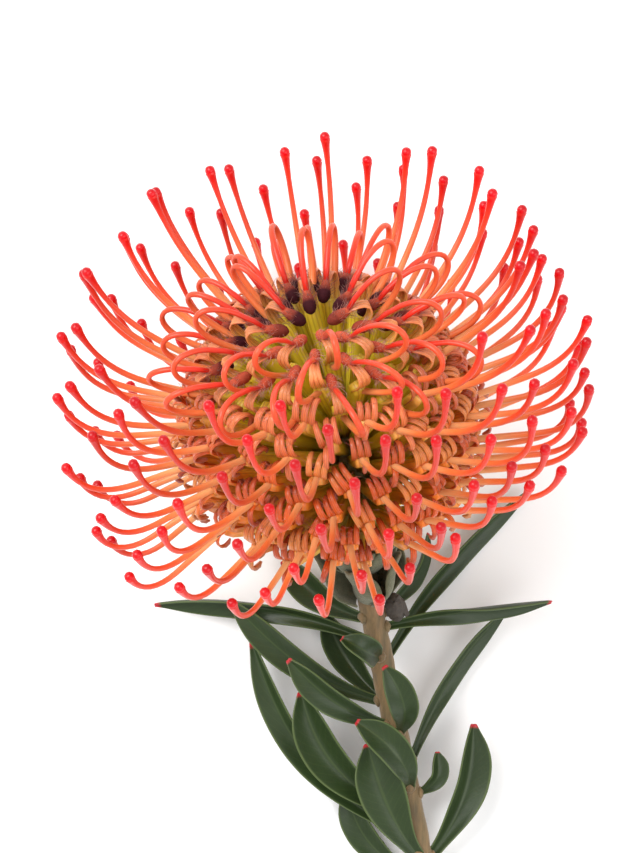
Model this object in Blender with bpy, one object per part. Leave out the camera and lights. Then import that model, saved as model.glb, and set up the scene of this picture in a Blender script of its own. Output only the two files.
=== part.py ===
"""A cut pincushion protea: one flower head on a leafy stem, lying on a table.

The stem lies along Y with its cut end towards -Y, the head is towards +Y and looks up out of the
table at HEAD_RISE. Florets stand on the receptacle in golden-angle order and are grouped in
FLORET_ROWS steep spiral rows, each one body. The origin is the centre of the footprint, on the table.
"""

import math

import bmesh
import bpy
from mathutils import Vector

MM = 0.001

# Where the flower lies. The head's centre is its place over the footprint's centre.
HEAD_CENTRE = Vector((0.8, 50.0, 46.0)) * MM
HEAD_RISE = math.radians(45)
HEAD_LEAN = math.radians(9)
TABLE_GAP = 0.7 * MM

# The head.
BALL_RADIUS = 30.0 * MM
NECK_TO_CENTRE = 29.0 * MM
NECK_ASIDE = 2.2 * MM
FLORET_ROWS = 21
FLORETS_PER_ROW = 8
GOLDEN_ANGLE = math.pi * (3 - math.sqrt(5))
LOWEST_POLAR = math.radians(117)
TOP_POLAR = math.radians(15)
OPEN_POLAR = math.radians(52)
FIRST_FLORET = 2.5 * MM
LAST_FLORET = 35.0 * MM

# The florets' widths.
ROW_THICKNESS = 1.2 * MM
ROW_SHARE = 0.78
FOOT_LENGTH = 1.8 * MM
TUBE_WIDTH = 2.2 * MM
CURL_WIDTH = 4.2 * MM
STYLE_WIDTH = 1.15 * MM
PRESENTER_WIDTH = 2.2 * MM
PRESENTER_LENGTH = 2.6 * MM
LIMB_WIDTH = 2.5 * MM
STYLE_LENGTH = 32.0 * MM
LOOP_REACH = 20.0 * MM

# The stem.
STEM_CUT = Vector((32.5, -110.4, 3.3)) * MM
STEM_RADIUS = 2.6 * MM
STEM_SIDES = 10
RECEPTACLE_LENGTH = 38.0 * MM
STEM_SLANT = 0.45
PIECE_GAP = 0.35 * MM

# The leaves, in mm: height of the base along Y, angle of the base round the stem (0 is +X, 90 is up
# from the table), tip, bow of the middle away from a straight line, width, roll about the length.
LEAF_THICKNESS = 0.6 * MM
LEAF_FOLD = 0.20
LEAVES = (
    (9.5, 150, (-9.5, 20.5, 3.5), (-1, -1, -3), 6.5, 10),
    (9.0, 325, (22.5, 26.5, 4.0), (2, -1, -1), 4.0, -60),
    (6.5, 8, (49.0, 11.7, 9.0), (0, 1.0, 1), 5.0, -62),
    (-1.0, 300, (45.0, 35.8, 3.0), (-2, 3.5, -2), 5.0, -48),
    (4.0, 205, (-37.5, 10.7, 4.0), (0, 4.5, -2), 5.2, 50),
    (1.0, 95, (3.2, 5.1, 24.0), (1, 0, 5), 5.5, -30),
    (-9.0, 180, (-20.8, 12.1, 10.0), (-1, -3, -1), 6.5, 15),
    (-9.5, 235, (-0.2, 8.9, 2.5), (-2, 0, -2), 6.5, 0),
    (-14.0, 140, (-8.2, 0.0, 17.0), (-1, -1, 3), 6.0, 20),
    (-16.0, 70, (12.2, -0.8, 24.0), (2.5, 0, 3.5), 6.3, 0),
    (-23.0, 335, (39.8, 9.9, 5.5), (-4, 1.5, -2), 5.0, -45),
    (-38.0, 185, (-16.2, 3.2, 6.0), (-5.5, -4.5, 2), 6.0, 25),
    (-34.0, 165, (-5.4, -7.5, 10.0), (-5, -1, 1), 8.5, 10),
    (-28.0, 75, (6.4, -13.1, 18.0), (3, 1, 4), 6.8, -15),
    (-30.0, 10, (24.2, -20.5, 10.0), (1.2, -1, 1), 4.0, -30),
    (-44.0, 345, (32.1, -14.8, 7.0), (2.5, 0.5, 1), 7.5, -25),
    (-43.0, 100, (9.0, -18.6, 11.0), (-1.5, -1, 0.3), 10.0, 0),
    (-48.0, 205, (4.5, -29.0, 2.8), (-3.5, -1, -2), 6.5, 20),
)

# The bracts: two tiers of woolly scales, by height above the neck and radius, both in mm.
UPPER_BRACTS = (8, ((-10.5, 4.9), (-7.0, 6.6), (-3.5, 8.4), (-0.8, 10.2)))
LOWER_BRACTS = (5, ((-16.5, 4.2), (-13.0, 5.9), (-9.5, 7.6), (-6.5, 9.3)))
BRACT_THICKNESS = 0.7 * MM
BRACT_SHARES = (0.62, 0.84, 0.66, 0.16)


def head_frame():
    """(the head's axis, its right-hand side, its side towards the table)."""
    axis = Vector(
        (
            -math.sin(HEAD_LEAN) * math.cos(HEAD_RISE),
            math.cos(HEAD_LEAN) * math.cos(HEAD_RISE),
            math.sin(HEAD_RISE),
        )
    )
    right = Vector((0, 0, 1)).cross(axis).normalized() * -1
    return axis, right, axis.cross(right)


AXIS, RIGHT, BACK = head_frame()
NECK = HEAD_CENTRE - AXIS * NECK_TO_CENTRE + RIGHT * NECK_ASIDE


def scatter(number, channel):
    """A repeatable value from -1 to 1 for one feature of one floret."""
    wave = math.sin(number * 12.9898 + channel * 78.233) * 43758.5453
    return 2 * (wave - math.floor(wave)) - 1


def smooth(value, low, high):
    """0 below low, 1 above high, and an eased ramp between them."""
    share = min(1.0, max(0.0, (value - low) / (high - low)))
    return share * share * (3 - 2 * share)


def outward(azimuth):
    """The direction square to the head's axis at this azimuth."""
    return RIGHT * math.cos(azimuth) + BACK * math.sin(azimuth)


def sideways(azimuth):
    """The direction in which the azimuth grows."""
    return BACK * math.cos(azimuth) - RIGHT * math.sin(azimuth)


def leaning(azimuth, polar):
    """The direction at this angle from the head's axis."""
    return AXIS * math.cos(polar) + outward(azimuth) * math.sin(polar)


def make_object(name, bm, colour, roughness):
    """One named object from a bmesh, with a material of its own."""
    bm.normal_update()
    bmesh.ops.recalc_face_normals(bm, faces=bm.faces)
    mesh = bpy.data.meshes.new(name)
    bm.to_mesh(mesh)
    bm.free()
    mesh.shade_smooth()
    mesh.set_sharp_from_angle(angle=math.radians(50))
    material = bpy.data.materials.new(name)
    material.use_nodes = True
    shader = material.node_tree.nodes["Principled BSDF"]
    shader.inputs["Base Color"].default_value = (*colour, 1)
    shader.inputs["Roughness"].default_value = roughness
    mesh.materials.append(material)
    made = bpy.data.objects.new(name, mesh)
    bpy.context.scene.collection.objects.link(made)
    return made


def ring_at(bm, centre, side, along, half_side, half_up):
    """Four corners round a centre, anticlockwise as seen from ahead."""
    side = (side - along * side.dot(along)).normalized()
    up = along.cross(side)
    corners = ((-1, -1), (1, -1), (1, 1), (-1, 1))
    return [bm.verts.new(centre + side * half_side * a + up * half_up * b) for a, b in corners]


def join_rings(bm, first, second, skip=None):
    """The side faces between two rings of four; the skipped side is returned as a ring instead."""
    opening = None
    for j in range(4):
        k = (j + 1) % 4
        corners = [first[j], first[k], second[k], second[j]]
        if j == skip:
            opening = corners
        else:
            bm.faces.new(corners)
    return opening


def grow(bm, ring, side, stations):
    """Grows a square tube from a ring through stations of (centre, direction, width), and caps it."""
    for centre, along, width in stations:
        further = ring_at(bm, centre, side, along, width / 2, width / 2)
        join_rings(bm, ring, further)
        ring = further
    bm.faces.new(ring)


# --- the florets' places ------------------------------------------------------------------


def receptacle_radius(height):
    """The receptacle's radius at a height along the head's axis above the neck."""
    share = min(1.0, max(0.0, height / RECEPTACLE_LENGTH))
    return 7.4 * MM * math.sqrt(max(0.0, 1 - share**2.6))


def floret_age(number):
    """0 for the lowest and oldest floret, 1 for the youngest, at the top."""
    return (number + 0.5) / (FLORET_ROWS * FLORETS_PER_ROW)


def floret_polar(number):
    """The angle from the head's axis at which a floret meets the ball."""
    low, top = math.cos(LOWEST_POLAR), math.cos(TOP_POLAR)
    return math.acos(low + (top - low) * floret_age(number))


def floret_foot(number, rise, lift):
    """A point of a floret's row: rise along the row from the floret, lift above the receptacle."""
    height = FIRST_FLORET + (LAST_FLORET - FIRST_FLORET) * floret_age(number) + rise
    row_step = (LAST_FLORET - FIRST_FLORET) / FLORETS_PER_ROW
    row_turn = (FLORET_ROWS * GOLDEN_ANGLE) % math.tau
    azimuth = number * GOLDEN_ANGLE + rise / row_step * row_turn
    radius = receptacle_radius(height) + PIECE_GAP + lift
    return NECK + AXIS * height + outward(azimuth) * radius, azimuth


def floret_mouth(number):
    """Where the perianth ends, on the ball."""
    azimuth = number * GOLDEN_ANGLE
    return HEAD_CENTRE + leaning(azimuth, floret_polar(number)) * BALL_RADIUS


def is_open(number):
    """Whether a floret has opened and let its style go; the side facing up from the table is ahead."""
    front = front_share(number * GOLDEN_ANGLE)
    return floret_polar(number) > OPEN_POLAR - math.radians(8) * front


def front_share(azimuth):
    """1 for a floret that faces straight up from the table, 0 for one on the far half."""
    return smooth(-math.sin(azimuth), 0.2, 0.95)


def open_style(number, steps):
    """The points of an opened floret's style, from the perianth's mouth to the presenter's base."""
    azimuth = number * GOLDEN_ANGLE
    polar = floret_polar(number)
    front = front_share(azimuth)
    start = polar + (math.radians(62) - polar) * 0.75 * front
    end = math.radians(12 + 9 * scatter(number, 1)) * (1 - 0.3 * front)
    low = smooth(-math.cos(polar), -0.3, 0.4)
    left, right = (low * smooth(math.cos(azimuth) * hand, 0.0, 0.9) for hand in (-1, 1))
    start += math.radians(9) * left - math.radians(28) * right
    length = STYLE_LENGTH * (1 + 0.07 * scatter(number, 2) - 0.05 * abs(math.cos(azimuth)))
    length *= 1 - 0.12 * left
    turn = math.radians(7) * scatter(number, 3)
    bend = 0.12 + 0.28 * smooth(polar, math.radians(60), math.radians(110))
    floor = TABLE_GAP + 7.0 * MM * smooth(math.cos(polar), -0.35, 0.45)
    point = floret_mouth(number)
    points = [point.copy()]
    for k in range(steps):
        share = (k + 0.5) / steps
        lean = start + (end - start) * smooth(share, bend, 1.0)
        heading = leaning(azimuth + turn * share, lean)
        steepest = -max(0.0, point.z - floor) / (5.0 * MM)
        heading.z = max(heading.z, steepest)
        point = point + heading.normalized() * (length / steps)
        points.append(point.copy())
    return points


def loop_style(number, steps):
    """The points of a closed floret's style: out of the perianth's slit, over, and back to the limb."""
    azimuth = number * GOLDEN_ANGLE
    polar = floret_polar(number)
    foot, _ = floret_foot(number, 0, ROW_THICKNESS)
    slit = foot.lerp(floret_mouth(number), 0.74)
    limb = limb_point(number)
    reach = LOOP_REACH * (1 + 0.1 * scatter(number, 5))
    aside = azimuth + math.radians(12.5) * scatter(number, 6)
    out = slit + leaning(aside, polar + math.radians(34)) * reach * 1.15
    back = limb + leaning(azimuth, polar + math.radians(2)) * reach * 0.9
    points = []
    for k in range(steps + 1):
        t = k / steps
        a, b, c, d = (1 - t) ** 3, 3 * t * (1 - t) ** 2, 3 * t * t * (1 - t), t**3
        points.append(slit * a + out * b + back * c + limb * d)
    return points


def limb_point(number):
    """Where a closed floret's perianth ends, a little nearer the head's axis than its mouth would be."""
    azimuth = number * GOLDEN_ANGLE
    polar = max(math.radians(9), floret_polar(number) - math.radians(9))
    return HEAD_CENTRE + leaning(azimuth, polar) * BALL_RADIUS * 0.95


# --- the florets' bodies ------------------------------------------------------------------


def directions(points):
    """The direction of a line at each of its points."""
    found = []
    for k in range(len(points)):
        before, after = points[max(0, k - 1)], points[min(len(points) - 1, k + 1)]
        found.append((after - before).normalized())
    return found


def grow_open_floret(bm, ring, number):
    """Perianth tube, curled perianth, arching style and pollen presenter of an opened floret."""
    azimuth = number * GOLDEN_ANGLE
    foot, _ = floret_foot(number, 0, ROW_THICKNESS)
    mouth = floret_mouth(number)
    along = (mouth - foot).normalized()
    line = open_style(number, 24)[::6]
    headings = directions(line)
    stations = [
        (foot.lerp(mouth, 0.82), along, TUBE_WIDTH),
        (foot.lerp(mouth, 0.90), along, CURL_WIDTH),
        (mouth, along, CURL_WIDTH * 0.9),
        (line[0] + headings[0] * 1.0 * MM, headings[0], STYLE_WIDTH),
    ]
    stations += [(p, d, STYLE_WIDTH) for p, d in zip(line[1:], headings[1:])]
    stations.append((line[-1] + headings[-1] * PRESENTER_LENGTH, headings[-1], PRESENTER_WIDTH * 0.9))
    grow(bm, ring, sideways(azimuth), stations)


def grow_closed_floret(bm, ring, number):
    """Perianth with its woolly limb, and the style that loops out of it and back to the limb."""
    azimuth = number * GOLDEN_ANGLE
    side = sideways(azimuth)
    foot, _ = floret_foot(number, 0, ROW_THICKNESS)
    mouth, limb = floret_mouth(number), limb_point(number)
    along = (mouth - foot).normalized()
    slit_low = ring_at(bm, foot.lerp(mouth, 0.68), side, along, TUBE_WIDTH / 2, TUBE_WIDTH / 2)
    slit_high = ring_at(bm, foot.lerp(mouth, 0.76), side, along, TUBE_WIDTH / 2, TUBE_WIDTH / 2)
    join_rings(bm, ring, slit_low)
    opening = join_rings(bm, slit_low, slit_high, skip=0)
    bend = (limb - foot.lerp(mouth, 0.76)).normalized()
    stations = [
        (limb - bend * 3.4 * MM, bend, STYLE_WIDTH * 1.5),
        (limb - bend * 1.6 * MM, bend, LIMB_WIDTH),
        (limb, bend, LIMB_WIDTH * 0.6),
    ]
    grow(bm, slit_high, side, stations)
    line = loop_style(number, 24)[4:23:3]
    grow(bm, opening, side, [(p, d, STYLE_WIDTH) for p, d in zip(line, directions(line))])


def row_ring(bm, number, rise):
    """A cross-section of a row's strip on the receptacle: outer left, outer right, inner right, inner left."""
    corners = []
    for lift, hand in ((ROW_THICKNESS, -1), (ROW_THICKNESS, 1), (0.0, 1), (0.0, -1)):
        point, azimuth = floret_foot(number, rise, lift)
        height = (point - NECK).dot(AXIS)
        half = ROW_SHARE * math.pi * (receptacle_radius(height) + PIECE_GAP) / FLORET_ROWS
        corners.append(bm.verts.new(point + sideways(azimuth) * half * hand))
    return corners


def make_floret_row(row):
    """One steep spiral row of florets on a thin strip of the receptacle's skin."""
    bm = bmesh.new()
    last = None
    for place in range(FLORETS_PER_ROW):
        number = row + place * FLORET_ROWS
        low = row_ring(bm, number, -FOOT_LENGTH / 2)
        high = row_ring(bm, number, FOOT_LENGTH / 2)
        if last is None:
            bm.faces.new(low[::-1])
        else:
            join_rings(bm, last, low)
        ring = join_rings(bm, low, high, skip=0)
        if is_open(number):
            grow_open_floret(bm, ring, number)
        else:
            grow_closed_floret(bm, ring, number)
        last = high
    bm.faces.new(last)
    return make_object(f"floret_row_{row + 1:02d}", bm, (0.95, 0.30, 0.12), 0.4)


# --- the stem -----------------------------------------------------------------------------


def stem_point(share):
    """A point of the stem's middle line, from the cut end at 0 to the neck at 1."""
    heel = STEM_CUT + Vector((-9.5, 60.0, 4.0)) * MM
    crook = NECK - AXIS * 30.0 * MM
    a, b = (1 - share) ** 3, 3 * share * (1 - share) ** 2
    c, d = 3 * share * share * (1 - share), share**3
    return STEM_CUT * a + heel * b + crook * c + NECK * d


def stem_direction(share):
    """The stem's direction towards the head."""
    step = 0.01
    return (stem_point(min(1, share + step)) - stem_point(max(0, share - step))).normalized()


def make_stem():
    """The stem with the receptacle that it swells into, as one body."""
    bm = bmesh.new()
    stations = []
    for k in range(17):
        share = k / 16
        swell = 4.6 * MM * smooth(share, 0.86, 1.0)
        butt = 0.5 * MM * (1 - smooth(share, 0.0, 0.4))
        stations.append((stem_point(share), stem_direction(share), STEM_RADIUS + swell + butt))
    for height in (6, 12, 18, 24, 29, 33, 35.5, 37):
        stations.append((NECK + AXIS * height * MM, AXIS, receptacle_radius(height * MM)))
    rings = []
    for place, (centre, along, radius) in enumerate(stations):
        ring = []
        for j in range(STEM_SIDES):
            out = around_stem(along, math.tau * j / STEM_SIDES)
            slant = along * out.z * radius * STEM_SLANT if place == 0 else Vector()
            ring.append(bm.verts.new(centre + out * radius + slant))
        rings.append(ring)
    for first, second in zip(rings, rings[1:]):
        for j in range(STEM_SIDES):
            k = (j + 1) % STEM_SIDES
            bm.faces.new((first[j], first[k], second[k], second[j]))
    bm.faces.new(rings[0][::-1])
    bm.faces.new(rings[-1])
    return make_object("stem", bm, (0.30, 0.20, 0.10), 0.7)


def around_stem(along, angle):
    """The direction square to the stem at this angle: 0 is +X and a quarter turn is up from the table."""
    side = Vector((1, 0, 0))
    side = (side - along * side.dot(along)).normalized()
    up = side.cross(along)
    return side * math.cos(angle) + up * math.sin(angle)


def stem_share(height):
    """How far along the stem its middle line reaches this height in Y."""
    low, high = 0.0, 1.0
    for _ in range(30):
        middle = (low + high) / 2
        if stem_point(middle).y < height:
            low = middle
        else:
            high = middle
    return low


# --- leaves, bracts and bud ---------------------------------------------------------------


def make_side_bud():
    """The dark dried bud in the angle between the stem and the bracts."""
    share = stem_share(11.0 * MM)
    along = stem_direction(share)
    out = around_stem(along, math.radians(22))
    centre = stem_point(share) + out * (STEM_RADIUS + 3.0 * MM)
    bm = bmesh.new()
    bmesh.ops.create_uvsphere(bm, u_segments=10, v_segments=7, radius=1)
    for vert in bm.verts:
        x, y, z = vert.co
        vert.co = centre + out * x * 2.1 * MM + out.cross(along) * y * 2.0 * MM + along * z * 3.0 * MM
    return make_object("side_bud", bm, (0.05, 0.035, 0.03), 0.8)


def sheet(bm, rows):
    """Closes two layers of points into one thin body; each row is (points above, points below)."""
    above = [[bm.verts.new(p) for p in top] for top, _ in rows]
    below = [[bm.verts.new(p) for p in bottom] for _, bottom in rows]
    across = len(above[0]) - 1
    for k in range(len(rows) - 1):
        for j in range(across):
            bm.faces.new((above[k][j], above[k][j + 1], above[k + 1][j + 1], above[k + 1][j]))
            bm.faces.new((below[k + 1][j], below[k + 1][j + 1], below[k][j + 1], below[k][j]))
        bm.faces.new((above[k][0], above[k + 1][0], below[k + 1][0], below[k][0]))
        bm.faces.new((above[k + 1][-1], above[k][-1], below[k][-1], below[k + 1][-1]))
    for j in range(across):
        bm.faces.new((above[0][j + 1], above[0][j], below[0][j], below[0][j + 1]))
        bm.faces.new((above[-1][j], above[-1][j + 1], below[-1][j + 1], below[-1][j]))


def leaf_width(share):
    """A leaf's width along its length: narrow at the stem, widest past the middle, blunt at the tip."""
    taper = math.sqrt(1 - 0.95 * smooth(share, 0.5, 1.0) ** 1.5)
    return (0.3 + 0.7 * smooth(share, 0.0, 0.55)) * taper


def leaf_frames(leaf, steps):
    """(point, direction, side, face) at places from a leaf's base to its tip."""
    height, angle, tip, bow, _, roll = leaf
    share = stem_share(height * MM)
    along = stem_direction(share)
    out = around_stem(along, math.radians(angle))
    base = stem_point(share) + out * (STEM_RADIUS * 1.12 + PIECE_GAP + LEAF_THICKNESS)
    end = Vector(tip) * MM
    first = base.lerp(end, 0.33) + (Vector(bow) + out * 3.0) * MM
    second = base.lerp(end, 0.67) + Vector(bow) * MM
    frames = []
    for k in range(steps + 1):
        t = k / steps
        a, b, c, d = (1 - t) ** 3, 3 * t * (1 - t) ** 2, 3 * t * t * (1 - t), t**3
        point = base * a + first * b + second * c + end * d
        heading = (first - base) * a + (second - first) * (b + c) / 1.5 + (end - second) * d
        heading.normalize()
        level = Vector((0, 0, 1)) - heading * heading.z
        hand = heading.cross(level.normalized())
        turn = math.radians(roll) * smooth(t, 0.05, 0.6)
        face = level.normalized() * math.cos(turn) + hand * math.sin(turn)
        frames.append((point, heading, heading.cross(face), face))
    return frames


def make_leaf(number, leaf):
    """One blade, folded along its midrib."""
    bm = bmesh.new()
    rows = []
    steps = 8
    for k, (point, _, side, face) in enumerate(leaf_frames(leaf, steps)):
        half = leaf[4] * MM * leaf_width(k / steps) / 2
        rim = face * half * 2 * LEAF_FOLD
        line = [point - side * half + rim, point, point + side * half + rim]
        rows.append((line, [p - face * LEAF_THICKNESS for p in line]))
    sheet(bm, rows)
    return make_object(f"leaf_{number:02d}", bm, (0.05, 0.13, 0.06), 0.4)


def bract_point(height, radius, azimuth):
    """A point of the bracts' cup, which follows the stem down from the neck."""
    share = 1 + height / (90 * MM)
    along = stem_direction(min(share, 1.0))
    centre = stem_point(share)
    out = outward(azimuth)
    out = (out - along * out.dot(along)).normalized()
    return centre + out * radius


def make_bract(number, azimuth, count, profile):
    """One scale of the cup, ovate and hollow towards the head."""
    bm = bmesh.new()
    rows = []
    for (height, radius), share in zip(profile, BRACT_SHARES):
        spread = math.pi / count * share
        turns = [azimuth + spread * hand for hand in (-1, 0, 1)]
        outer = [bract_point(height * MM, radius * MM + BRACT_THICKNESS, turn) for turn in turns]
        inner = [bract_point(height * MM, radius * MM, turn) for turn in turns]
        rows.append((outer, inner))
    sheet(bm, rows)
    return make_object(f"bract_{number:02d}", bm, (0.27, 0.30, 0.20), 0.9)


def main():
    """Clears the scene and builds the flower."""
    for old in list(bpy.data.objects):
        bpy.data.objects.remove(old)
    make_stem()
    make_side_bud()
    for row in range(FLORET_ROWS):
        make_floret_row(row)
    for number, leaf in enumerate(LEAVES, 1):
        make_leaf(number, leaf)
    number = 0
    for count, profile in (UPPER_BRACTS, LOWER_BRACTS):
        for place in range(count):
            number += 1
            make_bract(number, math.tau * (place + 0.5 * (count % 2)) / count, count, profile)


main()
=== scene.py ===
"""A cut pincushion protea on a table: its florets, stem, leaves, bracts and bud, and the stage.

Laid out as a Blender add-on and run as a script. Each operator models one kind of piece once, lays
copies of it along the flower's own lines, and joins them into pieces that ride on the body.
"""

import math

import bmesh
import bpy
from bpy.props import FloatProperty, FloatVectorProperty, PointerProperty
from mathutils import Matrix, Vector


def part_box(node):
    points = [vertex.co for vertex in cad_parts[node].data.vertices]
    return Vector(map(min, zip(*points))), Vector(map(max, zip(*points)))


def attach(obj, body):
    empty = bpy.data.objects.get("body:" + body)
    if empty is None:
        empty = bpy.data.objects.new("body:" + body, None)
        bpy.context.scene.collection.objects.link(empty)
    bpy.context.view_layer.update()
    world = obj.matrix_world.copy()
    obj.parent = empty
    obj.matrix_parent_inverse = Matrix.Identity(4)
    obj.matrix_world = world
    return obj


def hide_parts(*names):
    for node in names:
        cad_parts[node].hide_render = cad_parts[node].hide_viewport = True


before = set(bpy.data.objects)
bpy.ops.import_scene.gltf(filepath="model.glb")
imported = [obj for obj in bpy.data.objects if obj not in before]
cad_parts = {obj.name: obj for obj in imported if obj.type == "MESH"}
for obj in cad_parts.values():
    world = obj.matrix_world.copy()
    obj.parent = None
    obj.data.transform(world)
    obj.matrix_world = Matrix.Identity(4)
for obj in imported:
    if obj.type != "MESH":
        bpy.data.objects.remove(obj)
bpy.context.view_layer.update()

bl_info = {
    "name": "Pincushion Protea",
    "version": (1, 0, 0),
    "blender": (4, 5, 0),
    "location": "View3D > Sidebar > Protea",
    "description": "Models and finishes a cut pincushion protea over its CAD frame",
    "category": "Object",
}

MM = 0.001

# --- the flower's plan, on the same lines as the CAD's ------------------------------------

# The head: the centre of its ball of perianths, how far its axis rises from the table and leans to
# the left of Y, and the neck, where the stem ends and the receptacle begins.
HEAD_CENTRE = Vector((0.8, 50.0, 46.0)) * MM
HEAD_RISE = math.radians(45)
HEAD_LEAN = math.radians(9)
BALL_RADIUS = 30.0 * MM
NECK_TO_CENTRE = 29.0 * MM
NECK_ASIDE = 2.2 * MM

# The florets wind up the receptacle between two heights above the neck. Their perianths end on the
# ball, from the lowest to the top angle from the head's axis, and are closed above the open angle.
FLORET_ROWS = 21
FLORETS_PER_ROW = 8
GOLDEN_ANGLE = math.pi * (3 - math.sqrt(5))
LOWEST_POLAR = math.radians(117)
TOP_POLAR = math.radians(15)
OPEN_POLAR = math.radians(52)
FRONT_OPENS_AHEAD = math.radians(8)
FIRST_FLORET = 2.5 * MM
LAST_FLORET = 35.0 * MM

# An opened floret's style: its length, its angle from the head's axis where it starts on the front
# and where it ends (in degrees), what the low ones lean more or less by at the sides, and the heights
# above the table at which a falling style lies down.
STYLE_LENGTH = 32.0 * MM
STYLE_END_LEAN = 12
STYLE_END_SPREAD = 9
STYLE_TWIST = math.radians(7)
FRONT_STYLE_START = math.radians(62)
LOW_LEFT_LEAN = math.radians(9)
LOW_RIGHT_LEAN = math.radians(28)
TABLE_GAP = 0.7 * MM
LYING_HEIGHT = 7.0 * MM
TURNING_HEIGHT = 5.0 * MM

# A closed floret's style: how far its loop reaches, to which side, at which angle from the perianth,
# and how far up the perianth its slit is.
LOOP_REACH = 20.0 * MM
LOOP_ASIDE = math.radians(20)
LOOP_OUT = math.radians(39)
LOOP_SLIT = 0.74

# The stem: its cut end, the two points that its curve bends by, its radius, what it swells by at the
# cut and at the neck, and the rounded receptacle that it goes on into.
STEM_CUT = Vector((32.5, -110.4, 3.3)) * MM
STEM_HEEL = Vector((-9.5, 60.0, 4.0)) * MM
STEM_CROOK = 30.0 * MM
STEM_RADIUS = 2.6 * MM
STEM_BUTT = 0.5 * MM
NECK_SWELL = 4.6 * MM
RECEPTACLE_LENGTH = 38.0 * MM
RECEPTACLE_RADIUS = 7.4 * MM

# The leaves, in mm: height of the base along Y, angle of the base round the stem (0 is +X, 90 is up
# from the table), tip, bow of the middle away from a straight line, width, roll about the length.
LEAVES = (
    (9.5, 150, (-9.5, 20.5, 3.5), (-1, -1, -3), 6.5, 10),
    (9.0, 325, (22.5, 26.5, 4.0), (2, -1, -1), 4.0, -60),
    (6.5, 8, (49.0, 11.7, 9.0), (0, 1.0, 1), 5.0, -62),
    (-1.0, 300, (45.0, 35.8, 3.0), (-2, 3.5, -2), 5.0, -48),
    (4.0, 205, (-37.5, 10.7, 4.0), (0, 4.5, -2), 5.2, 50),
    (1.0, 95, (3.2, 5.1, 24.0), (1, 0, 5), 5.5, -30),
    (-9.0, 180, (-20.8, 12.1, 10.0), (-1, -3, -1), 6.5, 15),
    (-9.5, 235, (-0.2, 8.9, 2.5), (-2, 0, -2), 6.5, 0),
    (-14.0, 140, (-8.2, 0.0, 17.0), (-1, -1, 3), 6.0, 20),
    (-16.0, 70, (12.2, -0.8, 24.0), (2.5, 0, 3.5), 6.3, 0),
    (-23.0, 335, (39.8, 9.9, 5.5), (-4, 1.5, -2), 5.0, -45),
    (-38.0, 185, (-16.2, 3.2, 6.0), (-5.5, -4.5, 2), 6.0, 25),
    (-34.0, 165, (-5.4, -7.5, 10.0), (-5, -1, 1), 8.5, 10),
    (-28.0, 75, (6.4, -13.1, 18.0), (3, 1, 4), 6.8, -15),
    (-30.0, 10, (24.2, -20.5, 10.0), (1.2, -1, 1), 4.0, -30),
    (-44.0, 345, (32.1, -14.8, 7.0), (2.5, 0.5, 1), 7.5, -25),
    (-43.0, 100, (9.0, -18.6, 11.0), (-1.5, -1, 0.3), 10.0, 0),
    (-48.0, 205, (4.5, -29.0, 2.8), (-3.5, -1, -2), 6.5, 20),
)

# The bracts: two tiers of woolly scales, as (count, points), each point with its height above the
# neck and its radius in mm. A bract's foot, in the stem's skin, is a drop below its first point.
UPPER_BRACTS = (8, ((-10.5, 4.9), (-7.0, 6.6), (-3.5, 8.4), (-0.8, 10.2)))
LOWER_BRACTS = (5, ((-16.5, 4.2), (-13.0, 5.9), (-9.5, 7.6), (-6.5, 9.3)))
BRACT_FOOT_DROP = 1.5
BRACT_FOOT_RADIUS = 2.0
BRACT_OFFSET = 0.5 * MM
BRACT_OVERLAP = 1.08

# --- details that only the finished pieces have -------------------------------------------

# Leaf cushions on the bark and the core of the bud, in mm: place along X, half widths in Y and Z.
CUSHION = ((-1.4, 0.3, 0.2), (-0.9, 1.1, 0.6), (0.0, 1.5, 0.9), (0.8, 1.2, 0.7), (1.3, 0.4, 0.2))
CUSHION_WIDTH = 3.0 * MM
BUD_CORE = (
    (-2.7, 0.6, 0.6),
    (-1.9, 1.5, 1.4),
    (-0.6, 2.0, 1.9),
    (0.8, 1.8, 1.8),
    (1.9, 1.1, 1.2),
    (2.6, 0.4, 0.4),
)
BUD_SCALES = 7
BUD_SIZE = 1.2
BUD_HEIGHT = 11.0 * MM  # along Y, where the bud's own line follows the stem's

# The scars of stripped leaves wind down the bare stem: count, first height and step in mm, and the
# first angle and turn from one to the next in degrees.
SCARS = 7
SCAR_HEIGHT, SCAR_STEP = -44.0, 7.5
SCAR_ANGLE, SCAR_TURN = 40, 137.5

# The bark's rod: sides, steps, slant of the cut, unevenness of its radius, and the heights in mm of
# the receptacle's sections, which stay a little inside the florets' feet.
STEM_SIDES = 20
STEM_STEPS = 64
CUT_SLANT = math.radians(24)
KNOTTINESS = 0.12 * MM
RECEPTACLE_PLACES = (3, 8, 13, 18, 23, 28, 31, 34, 36, 37.2)
RECEPTACLE_FILL = 0.98

# Counts in the models that repeat, and how many degrees a perianth's straps roll up by.
BLADE_ROWS = 8
LEAF_STEPS = 12
STRAP_STEPS = 14
CURL_STEPS = 16
CURL_VARIANTS = 5
CURL_OF_THREE = 265
CURL_OF_LONE = 200
HAIRS_IN_TUFT = 12
TUFTS_ON_LIMB = 7

# What the florets are joined into: the first part of the name, and the slot.
FLORET_GROUPS = (("styles_row", "style"), ("perianths_row", "perianth"), ("wool_row", "wool"))

# The lights: name, offset from the head's centre, width, and share of the key light's power.
LIGHTS = (
    ("key_light", Vector((-0.55, 0.45, 0.85)), 0.7, 1.0),
    ("fill_light", Vector((0.65, -0.35, 0.8)), 0.9, 0.45),
)

# The camera: its place beside the head's centre, the height of the flower's middle, its sensor in mm.
CAMERA_OFFSET = Vector((-2.05, -0.3)) * MM
MIDDLE_HEIGHT = 40 * MM
SENSOR_WIDTH = 36


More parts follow.
